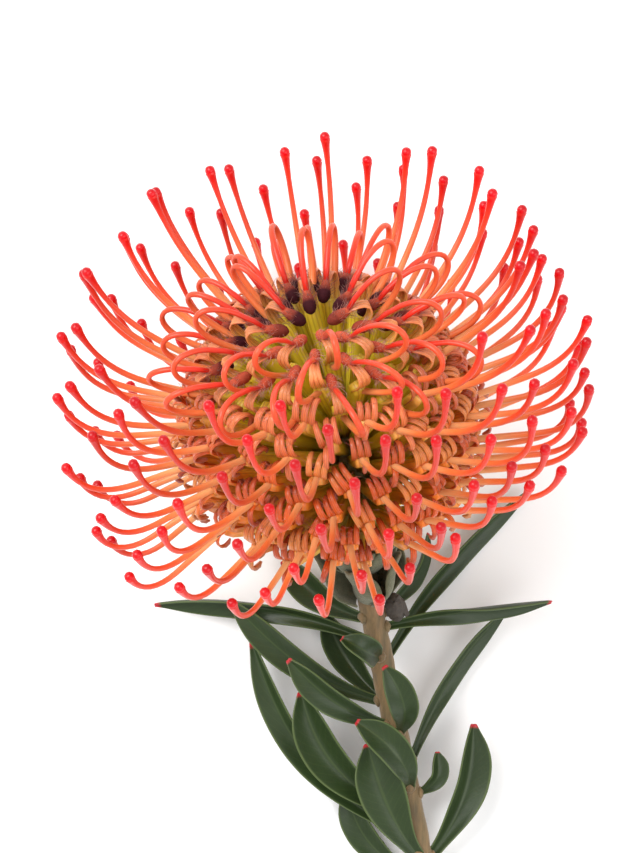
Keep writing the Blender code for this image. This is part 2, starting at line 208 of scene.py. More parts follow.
def head_matrix():
    """From the head's own axes, with Z along its axis and the ball's centre at 0, to the table's."""
    rise, lean = math.sin(HEAD_RISE), math.cos(HEAD_RISE)
    axis = Vector((-math.sin(HEAD_LEAN) * lean, math.cos(HEAD_LEAN) * lean, rise))
    right = Vector((axis.y, -axis.x, 0)).normalized()
    turned = Matrix((right, axis.cross(right), axis)).transposed().to_4x4()
    return Matrix.Translation(HEAD_CENTRE) @ turned


HEAD = head_matrix()
HEAD_INVERSE = HEAD.inverted()
AXIS = HEAD.to_3x3() @ Vector((0, 0, 1))
NECK = HEAD @ Vector((NECK_ASIDE, 0, -NECK_TO_CENTRE))


def scatter(number, channel):
    """A repeatable value from -1 to 1 for one feature of one piece."""
    wave = math.sin(number * 12.9898 + channel * 78.233) * 43758.5453
    return 2 * (wave - math.floor(wave)) - 1


def smooth(value, low, high):
    """0 below low, 1 above high, and an eased ramp between them."""
    share = min(1.0, max(0.0, (value - low) / (high - low)))
    return share * share * (3 - 2 * share)


def bezier(a, b, c, d, steps):
    """Points along a cubic curve."""
    found = []
    for k in range(steps + 1):
        t = k / steps
        s = 1 - t
        found.append(a * s**3 + b * (3 * t * s * s) + c * (3 * t * t * s) + d * t**3)
    return found


# In the head's own axes: the places of the florets.


def outward(azimuth):
    """The direction square to the head's axis at this azimuth."""
    return Vector((math.cos(azimuth), math.sin(azimuth), 0))


def leaning(azimuth, polar):
    """The direction at this angle from the head's axis."""
    return outward(azimuth) * math.sin(polar) + Vector((0, 0, math.cos(polar)))


def receptacle_radius(height):
    """The receptacle's radius at a height along the head's axis above the neck."""
    share = min(1.0, max(0.0, height / RECEPTACLE_LENGTH))
    return RECEPTACLE_RADIUS * math.sqrt(max(0.0, 1 - share**2.6))


def floret_age(number):
    """0 for the lowest and oldest floret, 1 for the youngest, at the top."""
    return (number + 0.5) / (FLORET_ROWS * FLORETS_PER_ROW)


def floret_polar(number):
    """The angle from the head's axis at which a floret meets the ball."""
    low, top = math.cos(LOWEST_POLAR), math.cos(TOP_POLAR)
    return math.acos(low + (top - low) * floret_age(number))


def floret_foot(number):
    """Where a floret stands on the receptacle."""
    height = FIRST_FLORET + (LAST_FLORET - FIRST_FLORET) * floret_age(number)
    azimuth = number * GOLDEN_ANGLE
    centre = Vector((NECK_ASIDE, 0, height - NECK_TO_CENTRE))
    return centre + outward(azimuth) * receptacle_radius(height)


def floret_mouth(number):
    """Where the perianth ends, on the ball."""
    return leaning(number * GOLDEN_ANGLE, floret_polar(number)) * BALL_RADIUS


def front_share(azimuth):
    """1 for a floret on the side of the head that faces up from the table, 0 for the other side."""
    return smooth(-math.sin(azimuth), 0.2, 0.95)


def is_open(number):
    """Whether a floret has opened and let its style go; the side facing up from the table is ahead."""
    front = front_share(number * GOLDEN_ANGLE)
    return floret_polar(number) > OPEN_POLAR - FRONT_OPENS_AHEAD * front


def open_style(number, steps):
    """An opened floret's style, from the perianth's mouth; the table turns it aside where it lies."""
    azimuth = number * GOLDEN_ANGLE
    polar = floret_polar(number)
    front = front_share(azimuth)
    start = polar + (FRONT_STYLE_START - polar) * 0.75 * front
    end = math.radians(STYLE_END_LEAN + STYLE_END_SPREAD * scatter(number, 1)) * (1 - 0.3 * front)
    low = smooth(-math.cos(polar), -0.3, 0.4)
    left, right = (low * smooth(math.cos(azimuth) * hand, 0.0, 0.9) for hand in (-1, 1))
    start += LOW_LEFT_LEAN * left - LOW_RIGHT_LEAN * right
    length = STYLE_LENGTH * (1 + 0.07 * scatter(number, 2) - 0.05 * abs(math.cos(azimuth)))
    length *= 1 - 0.12 * left
    turn = STYLE_TWIST * scatter(number, 3)
    bend = 0.12 + 0.28 * smooth(polar, math.radians(60), math.radians(110))
    floor = TABLE_GAP + LYING_HEIGHT * smooth(math.cos(polar), -0.35, 0.45)
    turned = HEAD.to_3x3()
    point = HEAD @ floret_mouth(number)
    points = [point.copy()]
    for k in range(steps):
        share = (k + 0.5) / steps
        lean = start + (end - start) * smooth(share, bend, 1.0)
        heading = turned @ leaning(azimuth + turn * share, lean)
        heading.z = max(heading.z, -max(0.0, point.z - floor) / TURNING_HEIGHT)
        point = point + heading.normalized() * (length / steps)
        points.append(point.copy())
    return [HEAD_INVERSE @ p for p in points]


def limb_ends(number):
    """(base, apex) of a closed perianth's woolly limb, which points at the head's axis and inwards."""
    azimuth = number * GOLDEN_ANGLE
    inward = math.radians(9)
    polar = max(inward, floret_polar(number) - inward)
    middle = leaning(azimuth, polar) * BALL_RADIUS * 0.97
    down = leaning(azimuth, polar + math.radians(90))
    heading = (leaning(azimuth, polar) * 0.55 + down * 0.8).normalized() * -sizes().limb_length / 2
    return middle - heading, middle + heading


def closed_style(number, steps):
    """A closed floret's style: out of the perianth's slit, over, and back into the limb."""
    azimuth = number * GOLDEN_ANGLE
    polar = floret_polar(number)
    slit = floret_foot(number).lerp(floret_mouth(number), LOOP_SLIT)
    base, apex = limb_ends(number)
    reach = LOOP_REACH * (1 + 0.1 * scatter(number, 5))
    aside = azimuth + LOOP_ASIDE * scatter(number, 6)
    out = slit + leaning(aside, polar + LOOP_OUT) * reach * 1.15
    back = base + (base - apex).normalized() * reach * 0.25 + leaning(azimuth, polar) * reach * 0.7
    return bezier(slit, out, back, base.lerp(apex, 0.2), steps)


# On the table's axes: the stem, the leaves and the bracts.


def stem_point(share):
    """A point of the stem's middle line, from the cut end at 0 to the neck at 1."""
    heel = STEM_CUT + STEM_HEEL
    crook = NECK - AXIS * STEM_CROOK
    s = 1 - share
    rest = heel * (3 * share * s * s) + crook * (3 * share * share * s)
    return STEM_CUT * s**3 + rest + NECK * share**3


def stem_direction(share):
    """The stem's direction towards the head."""
    step = 0.01
    return (stem_point(min(1, share + step)) - stem_point(max(0, share - step))).normalized()


def stem_share(height):
    """How far along the stem its middle line reaches this height in Y."""
    low, high = 0.0, 1.0
    for _ in range(30):
        middle = (low + high) / 2
        if stem_point(middle).y < height:
            low = middle
        else:
            high = middle
    return low


def around_stem(along, angle):
    """The direction square to the stem at an angle: 0 is +X, a quarter turn is up from the table."""
    side = Vector((1, 0, 0))
    side = (side - along * side.dot(along)).normalized()
    return side * math.cos(angle) + side.cross(along) * math.sin(angle)


def leaf_line(leaf, steps):
    """The points of a leaf's midrib, from just inside the stem's skin."""
    height, angle, tip, bow, _, _ = leaf
    share = stem_share(height * MM)
    out = around_stem(stem_direction(share), math.radians(angle))
    base = stem_point(share) + out * STEM_RADIUS * 0.95
    end = Vector(tip) * MM
    first = base.lerp(end, 0.33) + (Vector(bow) + out * 3.0) * MM
    return bezier(base, first, base.lerp(end, 0.67) + Vector(bow) * MM, end, steps)


def bract_point(height, radius, azimuth):
    """A point of the bracts' cup, which follows the stem down from the neck."""
    share = 1 + height / (3 * STEM_CROOK)
    along = stem_direction(min(share, 1.0))
    out = HEAD.to_3x3() @ outward(azimuth)
    return stem_point(share) + (out - along * out.dot(along)).normalized() * radius


# --- settings -----------------------------------------------------------------------------


def size(name, description, default):
    """A size in millimetres' range."""
    return FloatProperty(
        name=name, description=description, default=default * MM, unit="LENGTH", precision=5
    )


def colour(name, description, default):
    """A linear colour."""
    return FloatVectorProperty(
        name=name, description=description, default=default, subtype="COLOR", size=3, min=0, max=1
    )


class FloretSettings(bpy.types.PropertyGroup):
    """Sizes of the florets' parts."""

    style_width: size("Style width", "Thickness of a style at its middle", 1.35)
    presenter_width: size("Presenter width", "Width of the red club at a style's end", 2.15)
    tube_width: size("Tube width", "Width of a perianth tube", 3.1)
    claw_width: size("Claw width", "Width of one perianth segment's strap", 1.55)
    claw_thickness: size("Claw thickness", "Thickness of one perianth segment's strap", 0.42)
    claw_curl: size("Claw curl", "Radius of a perianth segment's roll", 2.7)
    limb_width: size("Limb width", "Width of the woolly end of a closed perianth", 3.0)
    limb_length: size("Limb length", "Length of the woolly end of a closed perianth", 5.4)
    hair_length: size("Hair length", "Length of the wool", 1.7)
    hair_width: size("Hair width", "Thickness of one hair", 0.075)


class FoliageSettings(bpy.types.PropertyGroup):
    """Sizes of the leaves, the bracts and the bud."""

    leaf_thickness: size("Leaf thickness", "Thickness of a leaf's blade", 0.5)
    bract_thickness: size("Bract thickness", "Thickness of a bract", 0.7)
    scar_width: size("Scar width", "Width of the scar that a stripped leaf leaves", 2.16)
    bud_scale_thickness: size("Bud scale thickness", "Thickness of the bud's dry scales", 0.25)


class ColourSettings(bpy.types.PropertyGroup):
    """Colours of the flower."""

    style_root: colour("Style root", "Pale yellow end of a style", (0.82, 0.58, 0.26))
    style_middle: colour("Style middle", "Orange middle of a style", (0.76, 0.175, 0.045))
    style_body: colour("Style body", "Coral upper half of a style", (0.72, 0.085, 0.028))
    presenter: colour("Presenter", "Red club at a style's end", (0.66, 0.001, 0.006))
    tube: colour("Tube", "Yellow-green perianth tube", (0.86, 0.70, 0.05))
    claw: colour("Claw", "Orange curled segment", (0.88, 0.155, 0.018))
    # Painted shade: the darker colour of the straps' rolled-in ends, where the curl shades them.
    claw_painted_shade: colour("Claw shade", "Inside of a curl", (0.42, 0.055, 0.015))
    claw_tan: colour("Tan claw", "Straw-coloured patches of the straps", (0.60, 0.33, 0.085))
    band: colour("Band", "Tan pink straps under a closed limb", (0.80, 0.29, 0.10))
    wool_dark: colour("Dark wool", "Purple wool at the back of the head", (0.035, 0.002, 0.005))
    wool_light: colour("Light wool", "Pink wool at the front of the head", (0.50, 0.085, 0.04))
    hair: colour("Hair", "Pale tips of the wool", (0.70, 0.42, 0.36))
    leaf: colour("Leaf", "Dark green blade", (0.020, 0.036, 0.010))
    leaf_pale: colour("Pale leaf", "Veins, edges and bloom", (0.085, 0.12, 0.035))
    leaf_tip: colour("Leaf tip", "Red callus at the tip", (0.45, 0.02, 0.03))
    bark: colour("Bark", "Tan stem", (0.17, 0.09, 0.037))
    bark_dark: colour("Dark bark", "Furrows and scars", (0.075, 0.042, 0.018))
    bark_green: colour("Green bark", "Green patches of the bark", (0.16, 0.15, 0.05))
    cut: colour("Cut wood", "Fresh end of the stem", (0.62, 0.52, 0.30))
    bract: colour("Bract", "Grey-green scale", (0.05, 0.053, 0.023))
    bract_wool: colour("Bract wool", "Short pale wool on the scales", (0.15, 0.145, 0.085))
    bract_tip: colour("Bract tip", "Brown tips of the scales", (0.16, 0.10, 0.05))
    bud: colour("Bud", "Dried bud", (0.020, 0.015, 0.011))
    felt_dark: colour("Dark felt", "Receptacle between the florets' feet", (0.30, 0.22, 0.08))
    felt_light: colour("Light felt", "Raised hairs of the receptacle", (0.62, 0.50, 0.22))


class StageSettings(bpy.types.PropertyGroup):
    """The camera, the lights and the table."""

    camera_height: size("Camera height", "Height of the camera above the flower's middle", 560)
    view_width: size("View width", "Width of what the camera sees at the flower's middle", 131.2)
    table: colour("Table", "Colour of the table", (0.93, 0.93, 0.93))
    world_strength: FloatProperty(
        name="World strength", description="Strength of the light from all round", default=0.85
    )
    key_power: FloatProperty(
        name="Key power", description="Power of the large soft light", default=12.8, subtype="POWER"
    )


def sizes():
    """The florets' settings."""
    return bpy.context.scene.protea_florets


def foliage():
    """The settings of leaves, bracts and bud."""
    return bpy.context.scene.protea_foliage


def colours():
    """The flower's colours."""
    return bpy.context.scene.protea_colours


# --- modelling ----------------------------------------------------------------------------


def only(piece):
    """Selects one object and makes it the active one."""
    bpy.ops.object.select_all(action="DESELECT")
    piece.select_set(True)
    bpy.context.view_layer.objects.active = piece


def apply_modifiers(piece):
    """Applies all modifiers of an object in their order."""
    only(piece)
    for modifier in list(piece.modifiers):
        bpy.ops.object.modifier_apply(modifier=modifier.name)


def mark(piece, low=0.0, high=1.0):
    """Writes along on each point, from low at the piece's start in X to high at its end.

    across runs from -1 to 1 over the piece's width in Z. age and tint are added for paint to fill.
    """
    mesh = piece.data
    places = [vert.co.x for vert in mesh.vertices]
    first, last = min(places), max(places)
    along = [low + (high - low) * (x - first) / (last - first) for x in places]
    widest = max(abs(vert.co.z) for vert in mesh.vertices) or 1.0
    across = [vert.co.z / widest for vert in mesh.vertices]
    for name in ("along", "across", "age", "tint"):
        if name not in mesh.attributes:
            mesh.attributes.new(name, "FLOAT", "POINT")
    mesh.attributes["along"].data.foreach_set("value", along)
    mesh.attributes["across"].data.foreach_set("value", across)


def paint(piece, name, value):
    """Writes one value on all of a piece's points."""
    count = len(piece.data.vertices)
    piece.data.attributes[name].data.foreach_set("value", [value] * count)


def drawn_out(name, sides, sections, flutes=0.0):
    """A closed rod along X: a disc extruded through (place, half width in Y, half width in Z)."""
    bpy.ops.object.select_all(action="DESELECT")
    place, wide, tall = sections[0]
    bpy.ops.mesh.primitive_circle_add(
        vertices=sides, radius=1, fill_type="NGON", location=(place, 0, 0), rotation=(0, math.pi / 2, 0)
    )
    rod = bpy.context.object
    rod.name = name
    rod.scale = (tall, wide, 1)
    bpy.ops.object.transform_apply(location=True, rotation=True, scale=True)
    bpy.ops.object.mode_set(mode="EDIT")
    if flutes:
        pinch(rod, flutes, place)
        bpy.ops.mesh.select_all(action="SELECT")
    for before, after in zip(sections, sections[1:]):
        step = (after[0] - before[0], 0, 0)
        bpy.ops.mesh.extrude_region_move(TRANSFORM_OT_translate={"value": step})
        growth = (1, after[1] / before[1], after[2] / before[2])
        bpy.ops.transform.resize(value=growth, center_override=(after[0], 0, 0))
    bpy.ops.mesh.select_all(action="SELECT")
    bpy.ops.mesh.normals_make_consistent(inside=False)
    bpy.ops.object.mode_set(mode="OBJECT")
    bpy.ops.object.shade_smooth()
    mark(rod)
    return rod


def pinch(rod, depth, place):
    """Draws every second corner of the first disc inwards, which flutes the rod."""
    bpy.ops.mesh.select_mode(type="VERT")
    pick(rod, lambda vert: vert.index % 2 == 0)
    shrink = (1, 1 - depth, 1 - depth)
    bpy.ops.transform.resize(value=shrink, center_override=(place, 0, 0))


def pick(piece, wanted):
    """Selects the points of the object in edit mode for which wanted is true."""
    shape = bmesh.from_edit_mesh(piece.data)
    shape.verts.index_update()
    for vert in shape.verts:
        vert.select_set(bool(wanted(vert)))
    shape.select_flush(True)
    bmesh.update_edit_mesh(piece.data)


def blade(name, columns, outline, hollow):
    """A thin sheet from X 0 to 1, its rows raised by hollow and its columns narrowed by outline."""
    bpy.ops.object.select_all(action="DESELECT")
    bpy.ops.mesh.primitive_grid_add(
        x_subdivisions=columns, y_subdivisions=BLADE_ROWS, size=1, location=(0.5, 0, 0)
    )
    sheet = bpy.context.object
    sheet.name = name
    bpy.ops.object.transform_apply(location=True, rotation=True, scale=True)
    mark(sheet)
    across = [2 * vert.co.y for vert in sheet.data.vertices]
    sheet.data.attributes["across"].data.foreach_set("value", across)
    bpy.ops.object.mode_set(mode="EDIT")
    bpy.ops.mesh.select_mode(type="VERT")
    for row in range(1, BLADE_ROWS // 2 + 1):
        edge = row / BLADE_ROWS
        pick(sheet, lambda vert: abs(abs(vert.co.y) - edge) < 0.01)
        bpy.ops.transform.translate(value=(0, 0, hollow(2 * edge)))
    for column in range(columns + 1):
        place = column / columns
        pick(sheet, lambda vert: abs(vert.co.x - place) < 0.4 / columns)
        width = outline(place)
        bpy.ops.transform.resize(value=(1, width, width), center_override=(place, 0, 0))
    bpy.ops.object.mode_set(mode="OBJECT")
    bpy.ops.object.shade_smooth()
    return sheet


def thickened(piece, thickness, levels=0):
    """Gives a sheet its thickness, and a finer mesh where levels is above 0."""
    shell = piece.modifiers.new("thickness", "SOLIDIFY")
    shell.thickness = thickness
    shell.offset = -1
    if levels:
        smoother = piece.modifiers.new("smooth", "SUBSURF")
        smoother.levels = levels
        smoother.render_levels = levels
    apply_modifiers(piece)


def copied(master, age=0.5, tint=0.0):
    """A copy with a mesh, an age and a tint of its own."""
    piece = master.copy()
    piece.data = master.data.copy()
    bpy.context.scene.collection.objects.link(piece)
    paint(piece, "age", age)
    paint(piece, "tint", tint)
    return piece


def discard(*pieces):
    """Removes objects that were only models for others."""
    for piece in pieces:
        bpy.data.objects.remove(piece)


def follow(piece, points, plane=None, tilts=None):
    """Lays a piece that lies along X on a line of points, stretched to its length.

    Its Z stays as near as it can to the Z of the plane, a matrix, or to up.
    """
    if plane:
        inverse = plane.inverted()
        points = [inverse @ point for point in points]
    line = bpy.data.curves.new("line", "CURVE")
    line.dimensions = "3D"
    line.twist_mode = "Z_UP"
    line.use_stretch = True
    line.use_deform_bounds = True
    spline = line.splines.new("NURBS")
    spline.points.add(len(points) - 1)
    for k, point in enumerate(points):
        spline.points[k].co = (*point, 1)
        spline.points[k].tilt = tilts[k] if tilts else 0
    spline.use_endpoint_u = True
    spline.order_u = 4
    guide = bpy.data.objects.new("line", line)
    bpy.context.scene.collection.objects.link(guide)
    modifier = piece.modifiers.new("follow", "CURVE")
    modifier.object = guide
    apply_modifiers(piece)
    bpy.data.objects.remove(guide)
    bpy.data.curves.remove(line)
    if plane:
        piece.data.transform(plane)
    return piece


def joined(pieces, name):
    """One object from several."""
    only(pieces[0])
    for piece in pieces:
        piece.select_set(True)
    if len(pieces) > 1:
        bpy.ops.object.join()
    pieces[0].name = name
    pieces[0].data.name = name
    return pieces[0]


def finish(piece, finish_name, surface, *nodes):
    """Gives a finished piece its surface and its body, and hides the CAD parts given by their nodes."""
    piece.data.materials.clear()
    piece.data.materials.append(surface)
    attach(piece, "root")
    if nodes:
        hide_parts(*nodes)


# --- surfaces -----------------------------------------------------------------------------


class Surface:
    """A procedural material, built up node by node from its Principled shader."""

    def __init__(self, name, **sockets):
        self.material = bpy.data.materials.new(name)
        self.material.use_nodes = True
        self.tree = self.material.node_tree
        self.shader = self.tree.nodes["Principled BSDF"]
        for socket, value in sockets.items():
            self.shader.inputs[socket.replace("_", " ")].default_value = value

    def node(self, kind, inputs=None, **settings):
        """Adds a node; inputs are values or sockets, by name or number."""
        made = self.tree.nodes.new("ShaderNode" + kind)
        for name, value in settings.items():
            setattr(made, name, value)
        for name, value in (inputs or {}).items():
            if isinstance(value, bpy.types.NodeSocket):
                self.tree.links.new(value, made.inputs[name])
            else:
                made.inputs[name].default_value = value
        return made

    def read(self, name):
        """A value written on the piece's points."""
        return self.node("Attribute", attribute_name=name).outputs["Fac"]

    def maths(self, operation, *values):
        """Arithmetic on values or sockets."""
        return self.node("Math", dict(enumerate(values)), operation=operation).outputs[0]

    def ramp(self, factor, *stops):
        """A colour ramp through (place, colour) stops."""
        made = self.node("ValToRGB", {0: factor})
        elements = made.color_ramp.elements
        while len(elements) < len(stops):
            elements.new(1.0)
        for element, (place, tone) in zip(elements, stops):
            element.position = place
            element.color = (*tone, 1)
        return made.outputs["Color"]

    def fade(self, factor, low, high, first=0.0, last=1.0):
        """A grey that goes from first to last while the factor goes from low to high."""
        return self.ramp(factor, (low, (first,) * 3), (high, (last,) * 3))

    def mix(self, factor, first, second, way="MIX"):
        """Two colours mixed."""
        made = self.node("Mix", data_type="RGBA", blend_type=way)
        for socket, value in ((0, factor), (6, first), (7, second)):
            if isinstance(value, bpy.types.NodeSocket):
                self.tree.links.new(value, made.inputs[socket])
            elif socket == 0:
                made.inputs[0].default_value = value
            else:
                made.inputs[socket].default_value = (*value, 1)
        return made.outputs[2]

    def noise(self, scale, detail=3.0, stretch=(1, 1, 1), roughness=0.5):
        """Noise on the piece's own coordinates, in cycles a metre."""
        place = self.node("TexCoord").outputs["Object"]
        placed = self.node("Mapping", {"Vector": place, "Scale": stretch}).outputs[0]
        inputs = {"Vector": placed, "Scale": scale, "Detail": detail, "Roughness": roughness}
        return self.node("TexNoise", inputs).outputs["Fac"]

    def bump(self, height, strength, distance):
        """Raises the surface by a height from 0 to 1."""
        inputs = {"Height": height, "Strength": strength, "Distance": distance}
        made = self.node("Bump", inputs).outputs[0]
        self.tree.links.new(made, self.shader.inputs["Normal"])

    def colour(self, socket, light=None):
        """Links the base colour, made lighter or darker by a value where one is given."""
        if light:
            socket = self.node("HueSaturation", {"Color": socket, "Value": light}).outputs[0]
        self.tree.links.new(socket, self.shader.inputs["Base Color"])

    def roughness(self, socket):
        """Links the roughness."""
        self.tree.links.new(socket, self.shader.inputs["Roughness"])


def shade(tone, share):
    """A colour made lighter or darker."""
    return tuple(min(1.0, value * share) for value in tone)


def blend(first, second, share):
    """A colour between two."""
    return tuple(a + (b - a) * share for a, b in zip(first, second))


def style_surface():
    """Waxy coral, pale yellow at the root and red at the presenter, with a darker domed cap.

    A pale line round the presenter's collar is painted highlight.
    """
    tone = colours()
    made = Surface(
        "style_skin",
        Subsurface_Weight=0.12,
        Subsurface_Radius=(1.0, 0.35, 0.15),
        Subsurface_Scale=0.0008,
        Sheen_Weight=0.12,
        Sheen_Roughness=0.3,
        Sheen_Tint=(1.0, 0.7, 0.55, 1),
        Specular_IOR_Level=0.3,
        Coat_Weight=0.1,
        Coat_Roughness=0.2,
    )
    along = made.read("along")
    age = made.read("age")
    skin = made.ramp(
        made.maths("MULTIPLY_ADD", age, 0.12, along),
        (0.0, tone.style_root),
        (0.22, blend(tone.style_root, tone.style_middle, 0.5)),
        (0.42, tone.style_middle),
        (0.64, tone.style_body),
        (0.84, blend(tone.style_body, tone.presenter, 0.5)),
        (0.95, blend(tone.style_body, tone.presenter, 0.7)),
    )
    # The red club's share of the colour; its dip round the collar paints a pale highlight line where the
    # collar's ridge catches the light.
    club_stops_with_collar_highlight = ((0.86, 0.0), (0.93, 0.75), (0.958, 0.45), (0.968, 1.0))
    club_share_with_collar_highlight = made.ramp(along, *((place, (value,) * 3) for place, value in club_stops_with_collar_highlight))
    club = made.ramp(along, (0.975, tone.presenter), (0.997, shade(tone.presenter, 0.7)))
    light = made.maths("MULTIPLY_ADD", made.read("tint"), 0.14, 1.0)
    made.colour(made.mix(club_share_with_collar_highlight, skin, club), light)
    made.roughness(made.maths("MULTIPLY_ADD", along, -0.12, 0.42))
    made.bump(made.noise(2500, 2.0), 0.15, 0.0001)
    return made.material


def perianth_surface():
    """Waxy tubes and straps: yellow-green, then orange with dry patches, or tan below a limb.

    The rolled-in ends of the straps are darkened with painted shade.
    """
    tone = colours()
    made = Surface(
        "perianth_skin",
        Subsurface_Weight=0.2,
        Subsurface_Radius=(1.0, 0.5, 0.1),
        Subsurface_Scale=0.001,
        Specular_IOR_Level=0.35,
        Coat_Weight=0.3,
        Coat_Roughness=0.15,
    )
    noise = made.noise(420, 3.0)
    place = made.maths("MULTIPLY_ADD", made.maths("SUBTRACT", noise, 0.5), 0.14, made.read("along"))
    opened = made.ramp(
        place,
        (0.0, tone.tube),
        (0.28, blend(tone.tube, tone.claw, 0.35)),
        (0.44, blend(tone.tube, tone.claw, 0.75)),
        (0.58, tone.claw),
        # Painted shade: the rolled-in end of each strap darkens towards the curl's shade colour.
        (0.80, blend(tone.claw, tone.claw_painted_shade, 0.55)),
        (0.90, tone.claw_painted_shade),
        (1.0, blend(tone.claw_painted_shade, tone.hair, 0.35)),
    )
    closed = made.ramp(
        place,
        (0.0, shade(tone.tube, 0.9)),
        (0.38, tone.tube),
        (0.50, blend(tone.tube, tone.band, 0.7)),
        (0.60, tone.band),
        (0.74, blend(tone.band, tone.wool_light, 0.6)),
    )
    half_tint = made.maths("MULTIPLY", made.read("tint"), 0.5)
    dry = made.maths("MULTIPLY_ADD", made.noise(170, 2.0), 1.2, half_tint)
    patch = made.fade(dry, 0.60, 0.95, last=0.5)
    young = made.fade(made.read("age"), 0.55, 0.78)
    skin = made.mix(young, made.mix(patch, opened, tone.claw_tan), closed)
    wave = made.maths("SINE", made.maths("MULTIPLY", made.read("across"), 11.0))
    rib = made.maths("MULTIPLY_ADD", wave, 0.5, 0.5)
    # Painted highlight and shade: the colour stays full along the ribs and is darker between them.
    line = made.ramp(rib, (0.0, (0.74, 0.68, 0.66)), (0.6, (1, 1, 1)))
    light = made.maths("MULTIPLY_ADD", made.read("tint"), 0.2, 1.0)
    made.colour(made.mix(1.0, skin, line, "MULTIPLY"), light)
    made.roughness(made.maths("MULTIPLY_ADD", noise, 0.25, 0.28))
    made.bump(made.maths("MULTIPLY_ADD", made.noise(2200, 2.0), 0.5, rib), 0.35, 0.00015)
    return made.material


def wool_surface():
    """Matted hairs, from dark purple to pink by the value in across, paler where tint is 1."""
    tone = colours()
    made = Surface("limb_wool", Roughness=0.8, Specular_IOR_Level=0.2)
    apex = made.mix(made.read("across"), tone.wool_dark, tone.wool_light)
    rooted = made.fade(made.read("along"), 0.1, 0.6, first=0.9, last=0.0)
    felt = made.mix(rooted, apex, tone.wool_light)
    haired = made.mix(made.read("tint"), felt, tone.hair)
    made.colour(haired, made.maths("MULTIPLY_ADD", made.noise(1800, 2.0), 0.9, 0.55))
    made.bump(made.noise(3500, 2.0), 0.5, 0.0003)
    return made.material


def leaf_surface():
    """Leathery dark green with pale midrib, side veins and edges, and a red tip."""
    tone = colours()
    made = Surface("leaf_skin", Specular_IOR_Level=0.25, Coat_Weight=0.15, Coat_Roughness=0.2)
    along = made.read("along")
    wide = made.maths("ABSOLUTE", made.read("across"))
    lift = made.maths("MULTIPLY_ADD", wide, -0.16, along)
    wave = made.maths("SINE", made.maths("MULTIPLY", lift, 95.0))
    vein = made.maths("MULTIPLY", made.fade(wave, 0.80, 1.0), 0.06)
    rib = made.maths("MULTIPLY", made.fade(wide, 0.02, 0.09, first=1.0, last=0.0), 0.22)
    edge = made.maths("MULTIPLY", made.fade(wide, 0.90, 0.99), 0.75)
    pattern = made.maths("MAXIMUM", made.maths("MAXIMUM", vein, rib), edge)
    green = made.mix(made.noise(160, 4.0), shade(tone.leaf, 0.75), shade(tone.leaf, 1.45))
    veined = made.mix(pattern, green, tone.leaf_pale)
    made.colour(made.mix(made.fade(along, 0.965, 0.985), veined, tone.leaf_tip))
    made.roughness(made.maths("MULTIPLY_ADD", made.noise(300, 3.0), 0.25, 0.30))
    made.bump(made.maths("MULTIPLY_ADD", made.noise(1500, 3.0), 0.35, pattern), 0.35, 0.0003)
    return made.material


def bark_surface():
    """Tan bark with fine furrows along the stem, green patches and short down."""
    tone = colours()
    made = Surface("stem_bark", Sheen_Weight=0.35, Sheen_Roughness=0.5, Sheen_Tint=(1, 0.9, 0.75, 1))
    furrow = made.noise(900, 5.0, (1, 0.12, 0.6), 0.65)
    patch = made.noise(130, 3.0)
    base = made.ramp(furrow, (0.32, tone.bark_dark), (0.5, tone.bark), (0.72, shade(tone.bark, 1.5)))
    made.colour(made.mix(made.maths("MULTIPLY", patch, 0.5), base, tone.bark_green))
    made.roughness(made.maths("MULTIPLY_ADD", patch, 0.3, 0.5))
    made.bump(furrow, 0.6, 0.0004)
    return made.material


def cut_surface():
    """Fresh cut wood with a pale pith and a darker rim."""
    tone = colours()
    made = Surface("stem_cut_wood", Roughness=0.7)
    inputs = {0: made.node("TexCoord").outputs["Object"], 1: STEM_CUT}
    distance = made.node("VectorMath", inputs, operation="DISTANCE").outputs["Value"]
    reach = made.maths("DIVIDE", distance, STEM_RADIUS * 1.2)
    wood = made.ramp(
        made.maths("MULTIPLY_ADD", made.noise(1500, 3.0), 0.12, reach),
        (0.16, shade(tone.cut, 1.25)),
        (0.24, shade(tone.cut, 0.75)),
        (0.72, tone.cut),
        (0.86, shade(tone.cut, 0.6)),
        (0.96, tone.bark_dark),
    )
    made.colour(wood)
    made.bump(made.noise(2500, 3.0), 0.3, 0.0002)
    return made.material


def receptacle_surface():
    """Straw-coloured felt between the florets' feet."""
    tone = colours()
    made = Surface("receptacle_felt", Roughness=0.9)
    made.colour(made.mix(made.noise(1500, 3.0), tone.felt_dark, tone.felt_light))
    made.bump(made.noise(3000, 3.0), 0.5, 0.0004)
    return made.material


def bract_surface():
    """Grey-green scales under short pale wool."""
    tone = colours()
    made = Surface("bract_wool", Roughness=0.85, Sheen_Weight=0.25, Sheen_Tint=(0.95, 0.95, 0.8, 1))
    base = made.mix(made.noise(900, 4.0), tone.bract, tone.bract_wool)
    tip = made.fade(made.read("along"), 0.75, 1.0)
    made.colour(made.mix(made.maths("MULTIPLY", tip, 0.5), base, tone.bract_tip))
    made.bump(made.noise(3000, 3.0), 0.6, 0.0004)
    return made.material


def bud_surface():
    """Dry and almost black, mottled with brown."""
    tone = colours()
    made = Surface("bud_skin", Roughness=0.6)
    made.colour(made.mix(made.noise(900, 4.0), tone.bud, shade(tone.bud, 3.5)))
    made.bump(made.noise(1400, 4.0), 0.8, 0.0004)
    return made.material


# --- the florets' models ------------------------------------------------------------------


def rounded(places, length, wide, tall):
    """Sections for drawn_out from (share of the length, share of the half widths) pairs."""
    return [(place * length, share * wide, share * tall) for place, share in places]


def millimetres(sections):
    """Sections for drawn_out from a table in mm."""
    return [tuple(value * MM for value in section) for section in sections]


